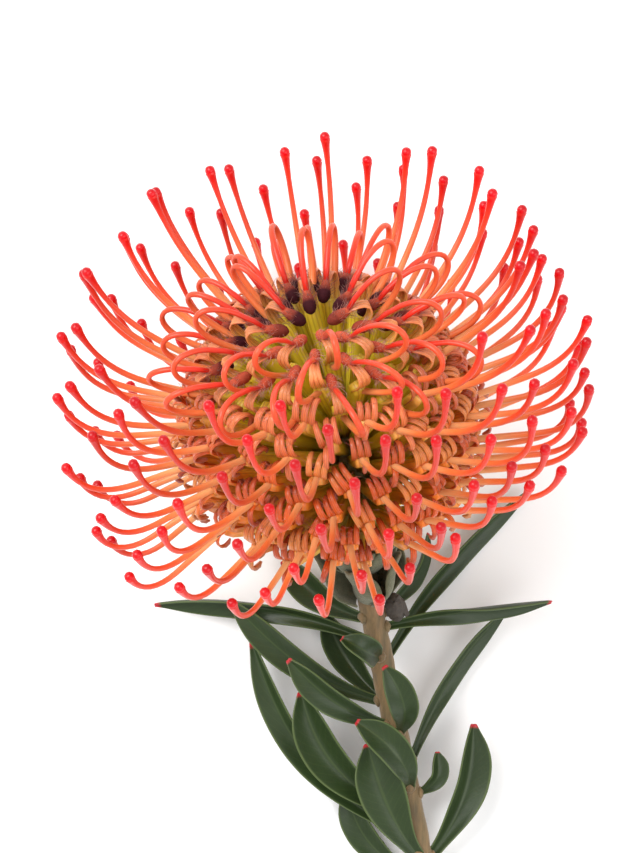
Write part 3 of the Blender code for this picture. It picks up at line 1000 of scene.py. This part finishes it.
def style_model(tipped):
    """A style along X.

    An opened one is tipped: it swells into its presenter, a long cone under a low domed cap. A closed
    one is a flatter ribbon that stays slim to its end.
    """
    half = sizes().style_width / 2
    knob = sizes().presenter_width / 2
    steps = 16 if tipped else 30
    shape = [(0.78 * k / steps, 1.12 - 0.24 * k / steps) for k in range(steps + 1)]
    sections = rounded(shape, STYLE_LENGTH, half, half * 0.9)
    if tipped:
        cone = ((0.83, 0.58), (0.87, 0.65), (0.90, 0.74), (0.925, 0.84), (0.943, 0.95))
        collar = ((0.954, 1.03), (0.960, 0.93))
        dome = ((0.966, 0.99), (0.977, 0.97), (0.987, 0.82), (0.995, 0.54), (0.998, 0.2))
        sections += rounded(cone + collar + dome, STYLE_LENGTH, knob, knob)
    else:
        sections += rounded(((0.89, 0.86), (1.0, 0.7)), STYLE_LENGTH, half, half)
        sections = [(place, thin * 0.85, wide * 1.15) for place, thin, wide in sections]
    made = drawn_out("style_model", 8, sections)
    if not tipped:
        mark(made, 0.1, 0.9)
    return made


def tube_model(low, high):
    """A perianth tube along X, fluted by its four segments."""
    half = sizes().tube_width / 2
    shape = ((0.0, 0.8), (0.2, 0.9), (0.4, 1.0), (0.6, 1.1), (0.8, 1.2), (0.93, 1.24), (1.0, 0.9))
    made = drawn_out("tube_model", 8, rounded(shape, BALL_RADIUS, half, half), flutes=0.2)
    mark(made, low, high)
    return made


def curl_line(radius, turns, aside):
    """A perianth segment's line: out of the tube, then rolled up towards the head's axis."""
    points = [Vector((-5.5 * MM, 0.3 * MM, aside * 0.3)), Vector((-2.8 * MM, 0.2 * MM, aside * 0.7))]
    for k in range(CURL_STEPS + 1):
        share = k / CURL_STEPS
        angle = -math.pi / 2 + turns * share
        reach = radius * (1 - 0.40 * share)
        centre = Vector((0, radius * 1.1 - 0.2 * radius * share, aside))
        points.append(centre + Vector((math.cos(angle), math.sin(angle), 0)) * reach)
    return points


def segment_model():
    """One perianth segment along X: a flat strap with a thick woolly limb at its end."""
    broad = sizes().claw_width / 2
    thin = sizes().claw_thickness / 2
    shape = []
    for k in range(STRAP_STEPS + 1):
        share = k / STRAP_STEPS
        limb = smooth(share, 0.74, 0.84) * (1 - smooth(share, 0.94, 1.04))
        waist = 0.9 + 0.1 * math.sin(5 * share)
        shape.append((share, thin * (1 + 1.7 * limb), broad * (waist - 0.12 * limb)))
    shape[-1] = (1.0, thin * 0.6, broad * 0.4)
    made = drawn_out("segment_model", 6, shape)
    mark(made, 0.45, 1.0)
    return made


def curled_perianth_model(variant):
    """Four segments of an opened perianth: three rolled up together, and one rolled back alone."""
    pitch = sizes().claw_width * 0.92
    segment = segment_model()
    segments = []
    for place in range(4):
        key = place + 4 * variant
        lone = place == 3
        radius = sizes().claw_curl * (0.9 if lone else 1 + 0.14 * scatter(key, 11))
        radius *= 1 + 0.12 * scatter(variant, 14)
        rolled = (CURL_OF_LONE if lone else CURL_OF_THREE) + 55 * scatter(key, 12)
        turns = math.radians(rolled + 45 * scatter(variant, 15))
        aside = pitch * (0.5 * scatter(key, 13) if lone else place - 1)
        strap = follow(copied(segment, 0, scatter(key, 16)), curl_line(radius, turns, aside))
        strap.data.transform(Matrix.Rotation(math.radians(9) * scatter(key, 17), 4, "X"))
        if lone:
            strap.data.transform(Matrix.Scale(-1, 4, (0, 1, 0)))
            strap.data.flip_normals()
        segments.append(strap)
    discard(segment)
    return joined(segments, f"curled_perianth_{variant}")


def bent_perianth_model():
    """Three segments of a closed perianth above its slit, side by side and drawn in at the limb."""
    broad = sizes().claw_width * 0.36
    thin = sizes().claw_thickness * 0.6
    shares = [k / 10 for k in range(11)]
    shape = [(share, thin * (1.2 - 0.2 * share), broad * (1 - 0.25 * share)) for share in shares]
    strap = drawn_out("bent_strap_model", 8, shape)
    mark(strap, 0.42, 0.72)
    straps = []
    for aside in (-1, 0, 1):
        places = [k / 6 for k in range(7)]
        drawn_in = [1 - 0.6 * smooth(place, 0.3, 1.0) for place in places]
        line = [Vector((x, 0, 1.95 * broad * aside * share)) for x, share in zip(places, drawn_in)]
        straps.append(follow(copied(strap), line))
    discard(strap)
    return joined(straps, "bent_perianth_model")


def hair_tuft_model(spread):
    """A dozen curved hairs that stand on the Y-Z plane round the origin and lean outwards."""
    hair_length = sizes().hair_length
    half = sizes().hair_width / 2
    taper = ((0, 1), (0.4, 1), (0.8, 0.7), (1, 0.3))
    model = drawn_out("hair_model", 3, rounded(taper, 1, half, half))
    hairs = []
    for k in range(HAIRS_IN_TUFT):
        turn = k * GOLDEN_ANGLE
        away = spread * math.sqrt((k + 0.5) / HAIRS_IN_TUFT)
        root = Vector((0, math.cos(turn), math.sin(turn))) * away
        lean = Vector((1.0, 0.55 * scatter(k, 21), 0.55 * scatter(k, 22))).normalized()
        curl = Vector((0.1, scatter(k, 23), scatter(k, 24))) * hair_length * 0.4
        reach = hair_length * (1 + 0.35 * scatter(k, 25))
        points = [root, root + lean * reach * 0.5, root + lean * reach * 0.8 + curl * 0.6]
        points.append(root + lean * reach + curl)
        hairs.append(follow(copied(model), points))
    discard(model)
    return joined(hairs, "hair_tuft")


def limb_model():
    """The swollen woolly end of a closed perianth, along X from its base to its rounded apex."""
    half = sizes().limb_width / 2
    swelling = ((0.0, 0.46), (0.15, 0.6), (0.35, 0.82), (0.58, 1.0))
    apex = ((0.76, 0.95), (0.9, 0.7), (0.97, 0.4), (1.0, 0.2))
    sections = rounded(swelling + apex, sizes().limb_length, half, half * 0.92)
    return drawn_out("limb_model", 10, sections)


def pointed(origin, along, up):
    """A matrix that puts X along a direction and Y as near as it can to another."""
    x = along.normalized()
    y = (up - x * up.dot(x)).normalized()
    z = x.cross(y)
    turned = Matrix((x, y, z)).transposed().to_4x4()
    return Matrix.Translation(origin) @ turned


def tone_of(number):
    """0 for the dark purple wool at the back of the head, 1 for the pink wool in front."""
    azimuth = number * GOLDEN_ANGLE
    return smooth(-math.sin(azimuth) + 0.25 * scatter(number, 31), -0.25, 0.5)


class FloretParts:
    """The models that all florets are copied from."""

    def __init__(self):
        self.open_style = style_model(True)
        self.closed_style = style_model(False)
        self.tube = tube_model(0.0, 0.5)
        self.closed_tube = tube_model(0.0, 0.42)
        self.band = bent_perianth_model()
        self.curls = [curled_perianth_model(variant) for variant in range(CURL_VARIANTS)]
        self.limb = limb_model()
        self.tuft = hair_tuft_model(0.9 * MM)

    def discard(self):
        """Removes the models."""
        discard(self.open_style, self.closed_style, self.tube, self.closed_tube, self.band)
        discard(*self.curls, self.limb, self.tuft)


def floret_plane(number):
    """The plane of a floret's lines: X outwards, Y along the head's axis, Z sideways."""
    out = outward(number * GOLDEN_ANGLE)
    return pointed(Vector(), out, Vector((0, 0, 1)))


def perianth_tube(model, number, end):
    """A floret's tube, straight from its foot to its end."""
    foot = floret_foot(number)
    tube = copied(model, floret_age(number), scatter(number, 42))
    return follow(tube, [foot.lerp(end, k / 4) for k in range(5)], floret_plane(number))


def open_floret(parts, number):
    """(styles, perianth parts, wool) of an opened floret."""
    age = floret_age(number)
    foot, mouth = floret_foot(number), floret_mouth(number)
    along = (mouth - foot).normalized()
    pole = Vector((0, 0, 1))
    line = [foot.lerp(mouth, 0.86), foot.lerp(mouth, 0.93)] + open_style(number, 24)
    style = follow(copied(parts.open_style, age, scatter(number, 41)), line, floret_plane(number))
    tube = perianth_tube(parts.tube, number, mouth)
    variant = int(CURL_VARIANTS / 2 + 2.49 * scatter(number, 45))
    curl = copied(parts.curls[variant], age, scatter(number, 43))
    place = pointed(mouth - along * 0.6 * MM, along, pole)
    sway = Matrix.Rotation(math.radians(22) * scatter(number, 44), 4, "X")
    curl.data.transform(place @ sway @ Matrix.Scale(1 + 0.12 * scatter(number, 46), 4))
    tuft = copied(parts.tuft, age, 0.35)
    paint(tuft, "across", 0.3 + 0.5 * tone_of(number))
    root = mouth + pointed(mouth, along, pole).to_3x3() @ Vector((0.6 * MM, 2.9 * MM, 0))
    turned = pointed(root, along + pole, outward(number * GOLDEN_ANGLE))
    tuft.data.transform(turned @ Matrix.Scale(1.3, 4))
    return [style], [tube, curl], [tuft]


def woolly_limb(parts, number):
    """The limb of a closed floret and the tufts of hair that lie back over it."""
    age = floret_age(number)
    pink = tone_of(number)
    base, apex = limb_ends(number)
    heading = (apex - base).normalized()
    out = outward(number * GOLDEN_ANGLE)
    slim = 1 - 0.2 * pink
    limb = copied(parts.limb, age)
    limb.data.transform(pointed(base, heading, out) @ Matrix.Diagonal((1, slim, slim, 1)))
    wool = [limb]
    for k in range(TUFTS_ON_LIMB):
        tuft = copied(parts.tuft, age, 0.25 + 0.5 * pink)
        turn = k * GOLDEN_ANGLE + number
        back = Vector((-1.7, math.cos(turn), math.sin(turn))) * 0.5
        lean = pointed(base, heading, out).to_3x3() @ back
        root = base.lerp(apex, 0.2 + 0.1 * k) + lean * MM
        tuft.data.transform(pointed(root, lean, heading))
        wool.append(tuft)
    for piece in wool:
        paint(piece, "across", pink)
    return wool


def closed_floret(parts, number):
    """(styles, perianth parts, wool) of a floret whose style is still held by the limb."""
    age = floret_age(number)
    plane = floret_plane(number)
    foot, mouth = floret_foot(number), floret_mouth(number)
    base, apex = limb_ends(number)
    style = follow(copied(parts.closed_style, age, scatter(number, 41)), closed_style(number, 28), plane)
    knee = foot.lerp(mouth, 0.84)
    tube = perianth_tube(parts.closed_tube, number, knee)
    rising = leaning(number * GOLDEN_ANGLE, floret_polar(number) + math.radians(25))
    top = knee + rising * 5.5 * MM
    arch = bezier(foot.lerp(mouth, 0.78), top, base + (base - apex) * 0.9, base.lerp(apex, 0.15), 12)
    band = follow(copied(parts.band, age, scatter(number, 43)), arch, plane)
    return [style], [tube, band], woolly_limb(parts, number)


# --- operators ----------------------------------------------------------------------------


class PROTEA_OT_florets(bpy.types.Operator):
    """Model the florets, opened and closed, and join them by their spiral rows"""

    bl_idname = "protea.florets"
    bl_label = "Florets"

    def execute(self, context):
        parts = FloretParts()
        surfaces = (style_surface(), perianth_surface(), wool_surface())
        for row in range(FLORET_ROWS):
            groups = ([], [], [])
            for place in range(FLORETS_PER_ROW):
                number = row + place * FLORET_ROWS
                make = open_floret if is_open(number) else closed_floret
                for group, pieces in zip(groups, make(parts, number)):
                    group.extend(pieces)
            for group, (name, slot), surface in zip(groups, FLORET_GROUPS, surfaces):
                piece = joined(group, f"{name}_{row + 1:02d}")
                piece.data.transform(HEAD)
                nodes = [f"floret_row_{row + 1:02d}"] if slot == "style" else []
                finish(piece, slot, surface, *nodes)
        parts.discard()
        return {"FINISHED"}


def stem_sections():
    """(places, half widths) along the stem and the receptacle, and the line that they lie on."""
    sections, line = [], []
    reach = 0.0
    last = stem_point(0)
    for k in range(STEM_STEPS + 1):
        share = k / STEM_STEPS
        point = stem_point(share)
        reach += (point - last).length
        last = point
        swell = NECK_SWELL * smooth(share, 0.86, 1.0)
        half = STEM_RADIUS + swell + butt_swell(share) + KNOTTINESS * scatter(k, 51)
        sections.append((reach, half, half))
        line.append(point)
    for height in RECEPTACLE_PLACES:
        half = receptacle_radius(height * MM) * RECEPTACLE_FILL
        sections.append((reach + height * MM, half, half))
        line.append(NECK + AXIS * height * MM)
    return sections, line


def butt_swell(share):
    """How much thicker the stem is towards its cut end."""
    return STEM_BUTT * (1 - smooth(share, 0.0, 0.4))


def bark_rod():
    """The stem and the receptacle as one rod with a slanted end."""
    sections, line = stem_sections()
    rod = drawn_out("stem_bark", STEM_SIDES, sections)
    bpy.ops.object.mode_set(mode="EDIT")
    bpy.ops.mesh.select_mode(type="VERT")
    pick(rod, lambda vert: vert.co.x < 0.1 * MM)
    bpy.ops.transform.rotate(value=CUT_SLANT, orient_axis="Y", center_override=(0, 0, 0))
    bpy.ops.object.mode_set(mode="OBJECT")
    return follow(rod, line)


def leaf_cushions():
    """The bumps on the bark: one under each leaf, and the scars of the leaves stripped from below."""
    model = drawn_out("cushion_model", 8, millimetres(CUSHION))
    places = [(leaf[0], leaf[1], 1.0) for leaf in LEAVES]
    for k in range(SCARS):
        share = foliage().scar_width / CUSHION_WIDTH
        places.append((SCAR_HEIGHT - SCAR_STEP * k, SCAR_TURN * k + SCAR_ANGLE, share))
    bumps = []
    for height, angle, scale in places:
        share = stem_share(height * MM)
        along = stem_direction(share)
        out = around_stem(along, math.radians(angle))
        root = stem_point(share) + out * (STEM_RADIUS + butt_swell(share))
        bump = copied(model)
        bump.data.transform(pointed(root, along, along.cross(out)) @ Matrix.Scale(scale, 4))
        bumps.append(bump)
    discard(model)
    return bumps


class PROTEA_OT_stem(bpy.types.Operator):
    """Model the stem with its slanted cut, leaf cushions and scars"""

    bl_idname = "protea.stem"
    bl_label = "Stem"

    def execute(self, context):
        stem = joined([bark_rod(), *leaf_cushions()], "stem_bark")
        finish(stem, "bark", bark_surface(), "stem")
        stem.data.materials.append(cut_surface())
        stem.data.materials.append(receptacle_surface())
        for face in stem.data.polygons:
            if len(face.vertices) == STEM_SIDES and face.center.y < STEM_CUT.y + 20 * MM:
                face.material_index = 1
            elif (face.center - NECK).dot(AXIS) > 0:
                face.material_index = 2
        return {"FINISHED"}


def leaf_outline(share):
    """A leaf's width along its length: narrow at the stem, widest past the middle, with a blunt tip."""
    taper = math.sqrt(1 - 0.985 * smooth(share, 0.6, 1.0) ** 1.8)
    return (0.28 + 0.72 * smooth(share, 0.0, 0.6)) * taper


class PROTEA_OT_leaves(bpy.types.Operator):
    """Model one leaf blade and lay a copy of it along each leaf's line"""

    bl_idname = "protea.leaves"
    bl_label = "Leaves"

    def execute(self, context):
        model = blade("leaf_model", 26, leaf_outline, lambda edge: 0.32 * edge**1.5)
        surface = leaf_surface()
        for number, leaf in enumerate(LEAVES, 1):
            piece = copied(model, 0.5, scatter(number, 61))
            fold = 1 + 0.35 * scatter(number, 62)
            width, roll = leaf[4] * MM, math.radians(leaf[5])
            piece.data.transform(Matrix.Diagonal((1, width, width * fold, 1)))
            places = [k / LEAF_STEPS for k in range(LEAF_STEPS + 1)]
            tilts = [-roll * smooth(place, 0.05, 0.6) for place in places]
            follow(piece, leaf_line(leaf, LEAF_STEPS), tilts=tilts)
            thickened(piece, foliage().leaf_thickness, levels=1)
            piece.name = f"leaf_blade_{number:02d}"
            finish(piece, "leaf", surface, f"leaf_{number:02d}")
        discard(model)
        return {"FINISHED"}


def bract_outline(share):
    """A bract's width along its length: a broad base and a pointed tip."""
    return (0.66 + 0.34 * smooth(share, 0.0, 0.4)) * (1 - 0.93 * smooth(share, 0.45, 1.0) ** 1.3)


def bract_line(profile, azimuth):
    """A bract's middle line in the head's axes, from its foot in the stem's skin to its tip."""
    foot = (profile[0][0] - BRACT_FOOT_DROP, BRACT_FOOT_RADIUS)
    points = []
    for height, radius in (foot, *profile):
        point = bract_point(height * MM, radius * MM + BRACT_OFFSET, azimuth)
        points.append(HEAD_INVERSE @ point)
    return points


class PROTEA_OT_bracts(bpy.types.Operator):
    """Model one bract and lay its copies in two tiers round the neck"""

    bl_idname = "protea.bracts"
    bl_label = "Bracts"

    def execute(self, context):
        surface = bract_surface()
        model = blade("bract_model", 12, bract_outline, lambda edge: 0.34 * edge**2)
        number = 0
        for count, profile in (UPPER_BRACTS, LOWER_BRACTS):
            for place in range(count):
                number += 1
                azimuth = math.tau * (place + 0.5 * (count % 2)) / count
                piece = copied(model, 0.5, scatter(number, 71))
                width = BRACT_OVERLAP * math.tau * profile[2][1] * MM / count
                piece.data.transform(Matrix.Diagonal((1, width, width, 1)))
                follow(piece, bract_line(profile, azimuth))
                piece.data.transform(HEAD)
                thickened(piece, foliage().bract_thickness, levels=1)
                piece.name = f"bract_scale_{number:02d}"
                finish(piece, "bract", surface, f"bract_{number:02d}")
        discard(model)
        return {"FINISHED"}


def bud_scale(model, number):
    """One of the bud's scales; each stands further along it and closer in than the one before."""
    piece = copied(model)
    piece.data.transform(Matrix.Diagonal((3.0 * MM, 2.2 * MM, -2.2 * MM, 1)))
    piece.data.flip_normals()
    turn = Matrix.Rotation(number * GOLDEN_ANGLE, 4, "X")
    lift = Matrix.Translation((-1.9 * MM + 0.25 * MM * number, 0, 2.0 * MM - 0.12 * MM * number))
    piece.data.transform(turn @ lift @ Matrix.Rotation(math.radians(8), 4, "Y"))
    thickened(piece, foliage().bud_scale_thickness)
    return piece


class PROTEA_OT_side_bud(bpy.types.Operator):
    """Model the dark dried bud from its rounded body and overlapping scales"""

    bl_idname = "protea.side_bud"
    bl_label = "Side Bud"

    def execute(self, context):
        low, high = (Vector(corner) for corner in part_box("side_bud"))
        core = drawn_out("bud_core", 10, millimetres(BUD_CORE))
        model = blade("bud_scale_model", 8, bract_outline, lambda edge: 0.4 * edge**2)
        scales = [bud_scale(model, number) for number in range(BUD_SCALES)]
        discard(model)
        bud = joined([core, *scales], "dried_bud")
        along = stem_direction(stem_share(BUD_HEIGHT))
        place = pointed((low + high) / 2, along, Vector((0, 0, 1)))
        bud.data.transform(place @ Matrix.Scale(BUD_SIZE, 4))
        finish(bud, "bud", bud_surface(), "side_bud")
        return {"FINISHED"}


def lay_table(stage):
    """The white table that the flower lies on."""
    bpy.ops.object.select_all(action="DESELECT")
    bpy.ops.mesh.primitive_plane_add(size=6, location=(0, 0, 0))
    table = bpy.context.object
    table.name = "table_top"
    paper = Surface("table_paper", Roughness=0.8)
    base = tuple(stage.table)
    paper.colour(paper.mix(paper.noise(40, 3.0), base, shade(base, 1.01)))
    table.data.materials.append(paper.material)


def light_room(stage):
    """Even light from all round, and two large soft lamps."""
    world = bpy.data.worlds.new("soft_room")
    world.use_nodes = True
    background = world.node_tree.nodes["Background"]
    background.inputs["Color"].default_value = (1, 1, 1, 1)
    background.inputs["Strength"].default_value = stage.world_strength
    bpy.context.scene.world = world
    for name, offset, width, share in LIGHTS:
        bpy.ops.object.light_add(type="AREA", location=HEAD_CENTRE + offset)
        lamp = bpy.context.object
        lamp.name = name
        lamp.data.size = width
        lamp.data.energy = stage.key_power * share
        lamp.rotation_euler = offset.to_track_quat("Z", "Y").to_euler()


def set_camera(stage):
    """The camera, which looks straight down."""
    x, y = HEAD_CENTRE.xy + CAMERA_OFFSET
    bpy.ops.object.camera_add(location=(x, y, MIDDLE_HEIGHT + stage.camera_height))
    camera = bpy.context.object
    camera.name = "camera_above"
    camera.rotation_euler = (0, 0, 0)
    camera.data.sensor_fit = "HORIZONTAL"
    camera.data.sensor_width = SENSOR_WIDTH
    camera.data.lens = SENSOR_WIDTH * stage.camera_height / stage.view_width
    camera.data.clip_start = 0.01
    bpy.context.scene.camera = camera
    bpy.context.scene.view_settings.view_transform = "Standard"


class PROTEA_OT_stage(bpy.types.Operator):
    """Set the table, the soft lights and the camera that looks down on the flower"""

    bl_idname = "protea.stage"
    bl_label = "Stage"

    def execute(self, context):
        stage = context.scene.protea_stage
        lay_table(stage)
        light_room(stage)
        set_camera(stage)
        return {"FINISHED"}


class PROTEA_PT_panel(bpy.types.Panel):
    """The flower's settings and the steps that build it"""

    bl_label = "Pincushion Protea"
    bl_space_type = "VIEW_3D"
    bl_region_type = "UI"
    bl_category = "Protea"

    def draw(self, context):
        layout = self.layout
        for operator in OPERATORS:
            layout.operator(operator.bl_idname)
        for name in SETTINGS:
            group = getattr(context.scene, name)
            box = layout.box()
            box.label(text=name.replace("_", " ").capitalize())
            for field in group.bl_rna.properties.keys():
                if field not in {"rna_type", "name"}:
                    box.prop(group, field)


OPERATORS = (
    PROTEA_OT_florets,
    PROTEA_OT_stem,
    PROTEA_OT_leaves,
    PROTEA_OT_bracts,
    PROTEA_OT_side_bud,
    PROTEA_OT_stage,
)
SETTINGS = {
    "protea_florets": FloretSettings,
    "protea_foliage": FoliageSettings,
    "protea_colours": ColourSettings,
    "protea_stage": StageSettings,
}


def register():
    for name, group in SETTINGS.items():
        bpy.utils.register_class(group)
        setattr(bpy.types.Scene, name, PointerProperty(type=group))
    for operator in OPERATORS:
        bpy.utils.register_class(operator)
    bpy.utils.register_class(PROTEA_PT_panel)


def unregister():
    bpy.utils.unregister_class(PROTEA_PT_panel)
    for operator in reversed(OPERATORS):
        bpy.utils.unregister_class(operator)
    for name, group in SETTINGS.items():
        delattr(bpy.types.Scene, name)
        bpy.utils.unregister_class(group)


def main():
    register()
    bpy.ops.protea.florets()
    bpy.ops.protea.stem()
    bpy.ops.protea.leaves()
    bpy.ops.protea.bracts()
    bpy.ops.protea.side_bud()
    bpy.ops.protea.stage()


if __name__ == "__main__":
    main()
